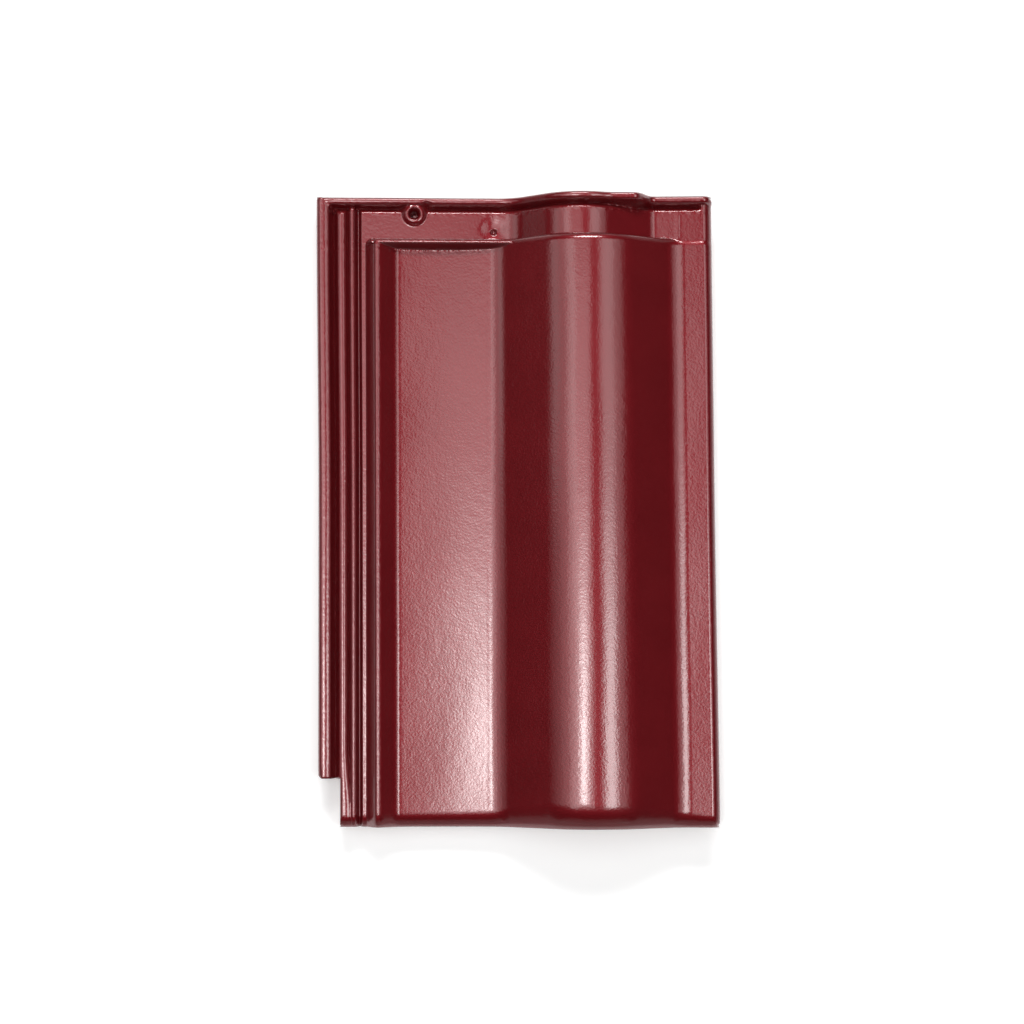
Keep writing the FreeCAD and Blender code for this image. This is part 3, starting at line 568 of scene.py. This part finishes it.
under_x = merged(
    spaced(UNDER_RUNS_X),
    walls(COVER_RIB_X, TONGUE_X, FOOT_RIB[0], LEFT_NIB[0], RIGHT_NIB[0]),
    [NOTCH_X],
)
under_y = merged(
    spaced(UNDER_RUNS_Y),
    walls(FOOT_RIB[1], LEFT_NIB[1]),
    [NOTCH_Y, HEAD_HOLLOW_Y, HEAD_HOLLOW_Y + UNDER_WALL_W],
)
face_x = merged(under_x, spaced(FACE_RUNS_X))
face_y = merged(under_y, spaced(FACE_RUNS_Y))


# Plan shape: round corners, the notch and the lower bevel
def round_corners(x, y):
    """Draws the square corners of the grid onto quarter circles."""
    for corner_x, corner_y, out_x, out_y, radius in CORNERS:
        u = out_x * (x - corner_x) + radius
        v = out_y * (y - corner_y) + radius
        near = (u > 0.0) & (v > 0.0) & (u <= radius + TINY) & (v <= radius + TINY)
        pull = np.where(near, np.maximum(u, v) / np.maximum(np.hypot(u, v), TINY), 1.0)
        x = np.where(near, corner_x + out_x * (u * pull - radius), x)
        y = np.where(near, corner_y + out_y * (v * pull - radius), y)
    return x, y


def grid_faces(lines_x, lines_y, first, flip):
    """Quads of a grid, less the notch at the nose."""
    across = len(lines_x)
    column, row = np.meshgrid(np.arange(across - 1), np.arange(len(lines_y) - 1))
    keep = ~((lines_x[column + 1] <= NOTCH_X + TINY) & (lines_y[row + 1] <= NOTCH_Y + TINY))
    corner = (first + row * across + column)[keep]
    quads = np.column_stack([corner, corner + 1, corner + 1 + across, corner + across])
    return quads[:, ::-1] if flip else quads


def outline_loop(lines_x, lines_y):
    """Column and row of each point round the outline, counter-clockwise from the notch's foot."""
    last_x = len(lines_x) - 1
    last_y = len(lines_y) - 1
    notch_x = int(np.argmin(np.abs(lines_x - NOTCH_X)))
    notch_y = int(np.argmin(np.abs(lines_y - NOTCH_Y)))
    loop = [(i, 0) for i in range(notch_x, last_x)]
    loop += [(last_x, j) for j in range(0, last_y)]
    loop += [(i, last_y) for i in range(last_x, 0, -1)]
    loop += [(0, j) for j in range(last_y, notch_y, -1)]
    loop += [(i, notch_y) for i in range(0, notch_x)]
    loop += [(notch_x, j) for j in range(notch_y, 0, -1)]
    return np.array(loop)


def lower_edge(x, y):
    """Points of the underside's outline, drawn in by the lower bevel."""
    in_x = np.clip(x, LEFT_X + LOWER_BEVEL, RIGHT_X - LOWER_BEVEL)
    in_y = np.clip(y, NOSE_Y + LOWER_BEVEL, HEAD_Y - LOWER_BEVEL)
    on_notch_x = (np.abs(x - NOTCH_X) < TINY) & (y <= NOTCH_Y + TINY)
    on_notch_y = (np.abs(y - NOTCH_Y) < TINY) & (x <= NOTCH_X + TINY)
    in_x = np.where(on_notch_x, NOTCH_X + LOWER_BEVEL, in_x)
    in_y = np.where(on_notch_y, NOTCH_Y + LOWER_BEVEL, in_y)
    return in_x, in_y


def around(lines, at):
    """The lines before and after a place; both are the same where it is on a line."""
    before = max(np.searchsorted(lines, at, "right") - 1, 0)
    after = min(np.searchsorted(lines, at), len(lines) - 1)
    return lines[[before, after]]


def edge_under(x, y):
    """Height of the underside's outline, straight between the underside's own lines."""
    around_x = around(under_x, x)
    around_y = around(under_y, y)
    start, end = under_height(around_x, around_y)
    span = (around_x[1] - around_x[0]) + (around_y[1] - around_y[0])
    if span < TINY:
        return start
    share = ((x - around_x[0]) + (y - around_y[0])) / span
    return start + (end - start) * share


def side_rings(loop, top):
    """Rings of points down the side walls: half way, where the lower bevel starts, where it ends."""
    rim_x = face_x[loop[:, 0]]
    rim_y = face_y[loop[:, 1]]
    low_z = np.array([edge_under(x, y) for x, y in zip(rim_x, rim_y)])
    bevel_z = np.minimum(low_z + LOWER_BEVEL, top[:, 2] - LEAST_WALL)
    middle_z = (top[:, 2] + bevel_z) / 2.0
    return [
        np.column_stack([top[:, :2], middle_z]),
        np.column_stack([top[:, :2], bevel_z]),
        np.column_stack([*lower_edge(*round_corners(rim_x, rim_y)), low_z]),
    ]


def fired(points):
    """Points drawn out of true as by the kiln: a skewed nose, and sides that flare a little."""
    x, y = points[:, 0].copy(), points[:, 1].copy()
    points[:, 1] -= NOSE_SKEW * (x - LEFT_X) * (HEAD_Y - y) / (HEAD_Y - NOSE_Y)
    points[:, 0] -= HEAD_FLARE * ease(y, 0.0, HEAD_Y) * ease(-x, -SLOPE_FOOT_X, -LEFT_X)
    points[:, 0] += NOSE_FLARE * ease(-y, 0.0, -NOSE_Y) * ease(x, APEX_X, RIGHT_X)
    return points


def thin_glaze(points):
    """1 along the edges where the glaze runs thin and breaks up, 0 on the plain face."""
    x, y = points[:, 0], points[:, 1]
    share = THIN_LOCK * (1.0 - ease(x, BEAD_END_X, BEAD_END_X + THIN_FADE))
    for edge_y, end_x in THIN_EDGES:
        near = np.exp(-(((y - edge_y) / THIN_HALF_W) ** 2))
        share = np.maximum(share, near * (1.0 - ease(x, end_x, end_x + THIN_FADE)))
    return share


# Tile mesh: glazed face, side walls and underside
def build_tile():
    grid_x, grid_y = np.meshgrid(face_x, face_y)
    face_z = face_height(grid_x, grid_y)
    plan_x, plan_y = round_corners(grid_x, grid_y)
    face_points = np.column_stack([plan_x.ravel(), plan_y.ravel(), face_z.ravel()])
    face_quads = grid_faces(face_x, face_y, 0, flip=False)

    low_x, low_y = np.meshgrid(under_x, under_y)
    low_z = under_height(low_x, low_y)
    in_x, in_y = lower_edge(*round_corners(low_x, low_y))
    low_points = np.column_stack([in_x.ravel(), in_y.ravel(), low_z.ravel()])
    low_first = len(face_points)
    low_quads = grid_faces(under_x, under_y, low_first, flip=True)

    loop = outline_loop(face_x, face_y)
    rim = loop[:, 1] * len(face_x) + loop[:, 0]
    rings = side_rings(loop, face_points[rim])
    side_first = low_first + len(low_points)
    numbers = [rim]
    numbers += [side_first + k * len(rim) + np.arange(len(rim)) for k in range(len(rings))]
    side_quads = [
        np.column_stack([upper, lower, np.roll(lower, -1), np.roll(upper, -1)])
        for upper, lower in zip(numbers[:-1], numbers[1:])
    ]

    points = np.concatenate([face_points, low_points, *rings])
    quads = np.concatenate([face_quads, low_quads, *side_quads])
    thin = thin_glaze(points)
    glaze = np.ones(len(points))
    glaze[low_first:side_first] = 0.0
    glaze[numbers[-1]] = 0.0
    points = fired(points) * MM
    used = np.unique(quads)
    place = np.zeros(len(points), int)
    place[used] = np.arange(len(used))

    mesh = bpy.data.meshes.new("tile_body")
    mesh.from_pydata(points[used].tolist(), [], place[quads].tolist())
    for name, values in (("glaze", glaze), ("thin", thin)):
        mesh.attributes.new(name, "FLOAT", "POINT").data.foreach_set("value", values[used])
    mesh.validate()
    mesh.shade_smooth()
    mesh.set_sharp_from_angle(angle=SHARP_ANGLE)
    tile = bpy.data.objects.new("tile_body", mesh)
    bpy.context.scene.collection.objects.link(tile)
    return tile


tile = build_tile()
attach(tile, "root")
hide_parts(NODE)

# Glaze: wine red, glossy, with a fine orange-peel skin; the underside is bare fired clay.
# Noises are given as scale and detail, bumps in metres.
WINE = ((0.055, 0.0018, 0.0026), (0.068, 0.0026, 0.0037))
WINE_CLOUDS = (28.0, 3.0)
CLOUD_SPAN = (0.35, 0.65)
CLAY = ((0.30, 0.095, 0.05), (0.40, 0.15, 0.085))
CLAY_GRAIN = (160.0, 5.0)
CLAY_ROUGHNESS = 0.75
GLAZE_GRAIN = (700.0, 2.0)
GLAZE_GRAIN_SPAN = (0.3, 0.7)
GLAZE_ROUGHNESS = (0.42, 0.50)
GLAZE_SOCKETS = (
    ("IOR", 1.7),
    ("Specular IOR Level", 1.0),
    ("Specular Tint", (0.86, 0.028, 0.055, 1.0)),
    ("Coat Weight", 1.0),
    ("Coat Roughness", 0.16),
    ("Coat IOR", 1.7),
)
PEEL = (620.0, 1.0)
SWELL = (140.0, 1.0)
SKIN_DEPTH = 0.00007
FLECKS = (330.0, 1.0)
FLECK_DEPTH = 0.00045

# Sockets of a Mix node, which has one set for each kind of value
FLOAT_A, FLOAT_B, FLOAT_OUT = 2, 3, 0
COLOUR_A, COLOUR_B, COLOUR_OUT = 6, 7, 2


def glaze_material():
    material = bpy.data.materials.new("wine_glaze")
    material.use_nodes = True
    nodes = material.node_tree.nodes
    links = material.node_tree.links
    shader = nodes["Principled BSDF"]
    place = nodes.new("ShaderNodeTexCoord").outputs["Object"]

    def attribute(name):
        node = nodes.new("ShaderNodeAttribute")
        node.attribute_name = name
        return node.outputs["Fac"]

    def noise(scale, detail):
        node = nodes.new("ShaderNodeTexNoise")
        node.inputs["Scale"].default_value = scale
        node.inputs["Detail"].default_value = detail
        links.new(place, node.inputs["Vector"])
        return node.outputs["Fac"]

    def remap(value, span, out_span):
        node = nodes.new("ShaderNodeMapRange")
        for name, number in zip(("From Min", "From Max", "To Min", "To Max"), (*span, *out_span)):
            node.inputs[name].default_value = number
        links.new(value, node.inputs["Value"])
        return node.outputs["Result"]

    def mix(factor, first, second):
        node = nodes.new("ShaderNodeMix")
        node.data_type = "RGBA"
        links.new(factor, node.inputs["Factor"])
        for socket, colour in ((node.inputs[COLOUR_A], first), (node.inputs[COLOUR_B], second)):
            if isinstance(colour, tuple):
                socket.default_value = (*colour, 1.0)
            else:
                links.new(colour, socket)
        return node.outputs[COLOUR_OUT]

    def bump(height, depth, below=None):
        node = nodes.new("ShaderNodeBump")
        node.inputs["Strength"].default_value = 1.0
        node.inputs["Distance"].default_value = depth
        links.new(height, node.inputs["Height"])
        if below:
            links.new(below, node.inputs["Normal"])
        return node.outputs["Normal"]

    glazed = attribute("glaze")
    cloud = remap(noise(*WINE_CLOUDS), CLOUD_SPAN, (0.0, 1.0))
    clay = mix(noise(*CLAY_GRAIN), *CLAY)
    links.new(mix(glazed, clay, mix(cloud, *WINE)), shader.inputs["Base Color"])

    for name, setting in GLAZE_SOCKETS:
        shader.inputs[name].default_value = setting
    rough = nodes.new("ShaderNodeMix")
    rough.data_type = "FLOAT"
    rough.inputs[FLOAT_A].default_value = CLAY_ROUGHNESS
    links.new(glazed, rough.inputs["Factor"])
    links.new(remap(noise(*GLAZE_GRAIN), GLAZE_GRAIN_SPAN, GLAZE_ROUGHNESS), rough.inputs[FLOAT_B])
    links.new(rough.outputs[FLOAT_OUT], shader.inputs["Roughness"])

    broken = nodes.new("ShaderNodeMath")
    broken.operation = "MULTIPLY"
    links.new(attribute("thin"), broken.inputs[0])
    links.new(remap(noise(*FLECKS), (0.0, 1.0), (-0.5, 0.5)), broken.inputs[1])
    skin = bump(noise(*PEEL), SKIN_DEPTH)
    skin = bump(noise(*SWELL), SKIN_DEPTH, below=skin)
    skin = bump(broken.outputs["Value"], FLECK_DEPTH, below=skin)
    for name in ("Normal", "Coat Normal"):
        links.new(skin, shader.inputs[name])
    return material


tile.data.materials.append(glaze_material())

# Floor and a low wall far round it: pale and plain, white to the camera, keeping the soft shadow
WHITE = (1.0, 1.0, 1.0, 1.0)
FLOOR_R = 12.0
WALL_HEIGHT = 4.5
FLOOR_SIDES = 64
FLOOR_COLOUR = (0.85, 0.85, 0.85, 1.0)
FLOOR_ROUGHNESS = 0.9
FLOOR_LIFT = (0.27, 1.0)
FLOOR_LIFT_REACH = (0.5, 2.4)
GLOSSY_SHARE = 0.3


def floor_material():
    material = bpy.data.materials.new("pale_floor")
    material.use_nodes = True
    material.cycles.emission_sampling = "NONE"
    nodes = material.node_tree.nodes
    links = material.node_tree.links
    shader = nodes["Principled BSDF"]
    shader.inputs["Base Color"].default_value = FLOOR_COLOUR
    shader.inputs["Roughness"].default_value = FLOOR_ROUGHNESS
    shader.inputs["Specular IOR Level"].default_value = 0.0
    shader.inputs["Emission Color"].default_value = WHITE

    def combine(operation, first, second):
        node = nodes.new("ShaderNodeMath")
        node.operation = operation
        for socket, term in zip(node.inputs, (first, second)):
            if isinstance(term, float):
                socket.default_value = term
            else:
                links.new(term, socket)
        return node.outputs["Value"]

    away = nodes.new("ShaderNodeVectorMath")
    away.operation = "LENGTH"
    links.new(nodes.new("ShaderNodeTexCoord").outputs["Object"], away.inputs[0])
    lift = nodes.new("ShaderNodeMapRange")
    lift.inputs["From Min"].default_value, lift.inputs["From Max"].default_value = FLOOR_LIFT_REACH
    lift.inputs["To Min"].default_value, lift.inputs["To Max"].default_value = FLOOR_LIFT
    links.new(away.outputs["Value"], lift.inputs["Value"])
    path = nodes.new("ShaderNodeLightPath").outputs
    glossy = combine("MULTIPLY", path["Is Glossy Ray"], GLOSSY_SHARE)
    seen = combine("ADD", path["Is Camera Ray"], glossy)
    seen = combine("ADD", seen, path["Is Transmission Ray"])
    links.new(combine("MULTIPLY", lift.outputs["Result"], seen), shader.inputs["Emission Strength"])
    return material


def build_floor():
    turns = [2.0 * math.pi * k / FLOOR_SIDES for k in range(FLOOR_SIDES)]
    foot = [(FLOOR_R * math.cos(turn), FLOOR_R * math.sin(turn), 0.0) for turn in turns]
    top = [(x, y, WALL_HEIGHT) for x, y, _ in foot]
    sides = []
    for k in range(FLOOR_SIDES):
        after = (k + 1) % FLOOR_SIDES
        sides.append((k, FLOOR_SIDES + k, FLOOR_SIDES + after, after))
    mesh = bpy.data.meshes.new("floor")
    mesh.from_pydata(foot + top, [], [tuple(range(FLOOR_SIDES)), *sides])
    mesh.materials.append(floor_material())
    floor = bpy.data.objects.new("floor", mesh)
    bpy.context.scene.collection.objects.link(floor)


build_floor()

# Lamps: soft boxes over and beside the tile; radiance is what a mirror would show.
# Level ones hang at one height and are given by their span in x and in y, radiance and drop:
# one hung a little lower hides the part of a wider one that it covers.
BOX_Z = 2.2
CEILING_BOXES = (
    ("main_box", (-1.25, 0.19), (-0.95, 1.20), 0.84, 0.0),
    ("left_crown_box", (-1.25, -0.74), (-0.95, 1.20), 1.30, 0.01),
    ("middle_box", (-0.90, 0.11), (-0.85, 0.60), 0.99, 0.02),
    ("halo_box_1", (-0.72, -0.02), (-0.62, 0.18), 1.32, 0.03),
    ("halo_box_2", (-0.66, -0.09), (-0.50, 0.06), 1.80, 0.04),
    ("halo_box_3", (-0.60, -0.14), (-0.44, -0.04), 2.35, 0.05),
    ("halo_box_4", (-0.56, -0.20), (-0.41, -0.11), 3.20, 0.06),
    ("flash_box", (-0.52, -0.31), (-0.40, -0.15), 8.60, 0.07),
    ("left_box_1", (-1.90, -1.25), (-0.80, 1.30), 0.93, 0.0),
    ("left_box_2", (-2.60, -1.90), (-0.70, 1.40), 0.48, 0.0),
    ("left_box_3", (-3.30, -2.60), (-0.60, 1.50), 0.27, 0.0),
    ("left_head_box", (-2.70, -1.88), (0.30, 1.50), 0.78, 0.02),
    ("right_box", (0.54, 1.95), (-0.95, 1.20), 0.88, 0.0),
    ("right_middle_box", (0.64, 1.34), (-0.90, 1.10), 1.14, 0.02),
    ("right_near_box", (0.68, 1.26), (-0.85, 0.15), 2.28, 0.03),
    ("right_foot_box", (0.72, 1.18), (-0.80, -0.05), 3.48, 0.04),
)

# Standing ones face the tile's middle and are given by place, size and radiance
STANDING_BOXES = (
    ("head_box", (0.0, 2.0, 1.9), (1.2, 0.5), 24.0),
    ("front_box", (0.0, -2.0, 1.0), (2.4, 0.7), 0.27),
)
WORLD_STRENGTH = 0.012


def soft_box(name, at, size, radiance, aim):
    light = bpy.data.lights.new(name, "AREA")
    light.shape = "RECTANGLE"
    light.size, light.size_y = size
    light.energy = radiance * math.pi * size[0] * size[1]
    lamp = bpy.data.objects.new(name, light)
    bpy.context.scene.collection.objects.link(lamp)
    turn = (Vector(aim) - Vector(at)).to_track_quat("-Z", "Y")
    lamp.matrix_world = Matrix.Translation(at) @ turn.to_matrix().to_4x4()


for name, (left, right), (front, back), radiance, drop in CEILING_BOXES:
    middle_x = (left + right) / 2.0
    middle_y = (front + back) / 2.0
    at = (middle_x, middle_y, BOX_Z - drop)
    soft_box(name, at, (right - left, back - front), radiance, aim=(middle_x, middle_y, 0.0))
for name, at, size, radiance in STANDING_BOXES:
    soft_box(name, at, size, radiance, aim=(0.0, 0.0, 0.0))

world = bpy.data.worlds.new("studio")
bpy.context.scene.world = world
world.use_nodes = True
sky = world.node_tree.nodes["Background"].inputs
sky["Color"].default_value = WHITE
sky["Strength"].default_value = WORLD_STRENGTH

# Camera, nearly straight above and a little below the middle of the tile; turns are in degrees
CAMERA_AT = (-0.0842, -0.1093, 1.4957)
CAMERA_ROLL = 0.329
CAMERA_TILT = -4.141
CAMERA_YAW = 3.119
CAMERA_LENS = 72.66
SENSOR_WIDTH = 36.0

camera_data = bpy.data.cameras.new("camera")
camera_data.sensor_width = SENSOR_WIDTH
camera_data.lens = CAMERA_LENS
camera = bpy.data.objects.new("camera", camera_data)
bpy.context.scene.collection.objects.link(camera)
camera.matrix_world = (
    Matrix.Translation(CAMERA_AT)
    @ Matrix.Rotation(math.radians(-CAMERA_YAW), 4, "Y")
    @ Matrix.Rotation(math.radians(-CAMERA_TILT), 4, "X")
    @ Matrix.Rotation(math.radians(-CAMERA_ROLL), 4, "Z")
)
bpy.context.scene.camera = camera
bpy.context.scene.view_settings.view_transform = "Standard"
